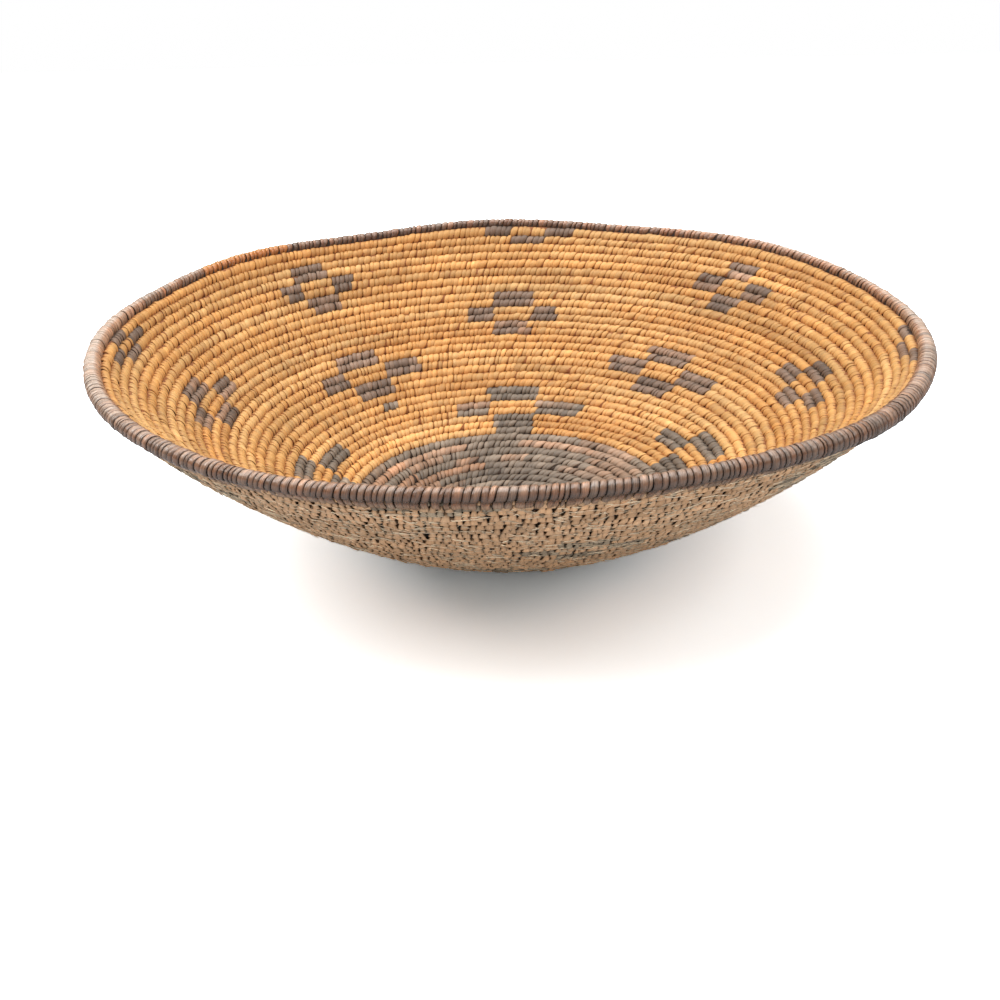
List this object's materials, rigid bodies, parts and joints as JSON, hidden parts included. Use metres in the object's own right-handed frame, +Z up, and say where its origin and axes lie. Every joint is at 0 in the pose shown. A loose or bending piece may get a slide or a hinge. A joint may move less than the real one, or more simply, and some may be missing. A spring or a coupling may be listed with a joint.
{
  "type": "coiled basket",
  "caption": "Wide shallow bowl sewn from one spiral coil, with a dark centre, dark block figures and a thick dark rim.",
  "frame": {"origin": "middle of the flat base, on the surface the basket rests on", "axes": "+Z up through the mouth, -Y towards the viewer, +X to the viewer's right"},
  "size_m": [0.3496, 0.3456, 0.1016],
  "materials": {
    "dark_splint": "matt worn dark splint",
    "pale_splint": "satin golden peeled splint",
    "rim_splint": "polished dark brown splint"
  },
  "bodies": {
    "root": {"starting_knot": "dark_splint", "dark_centre_coil": "dark_splint", "lower_wall_coil": "pale_splint", "upper_wall_coil": "pale_splint", "rim_coil": "rim_splint", "figure_rim_right": "dark_splint", "figure_rim_back": "dark_splint", "figure_rim_left": "dark_splint", "figure_rim_front": "dark_splint", "figure_ring_2_back_right": "dark_splint", "figure_ring_2_back_left": "dark_splint", "figure_ring_2_front_left": "dark_splint", "figure_ring_2_front_right": "dark_splint", "figure_ring_3_right": "dark_splint", "figure_ring_3_back": "dark_splint", "figure_ring_3_left": "dark_splint", "figure_ring_3_front": "dark_splint", "figure_ring_4_back_right": "dark_splint", "figure_ring_4_back_left": "dark_splint", "figure_ring_4_front_left": "dark_splint", "figure_ring_4_front_right": "dark_splint", "figure_ring_5_right": "dark_splint", "figure_ring_5_back": "dark_splint", "figure_ring_5_left": "dark_splint", "figure_ring_5_front": "dark_splint"}
  },
  "joints": []
}
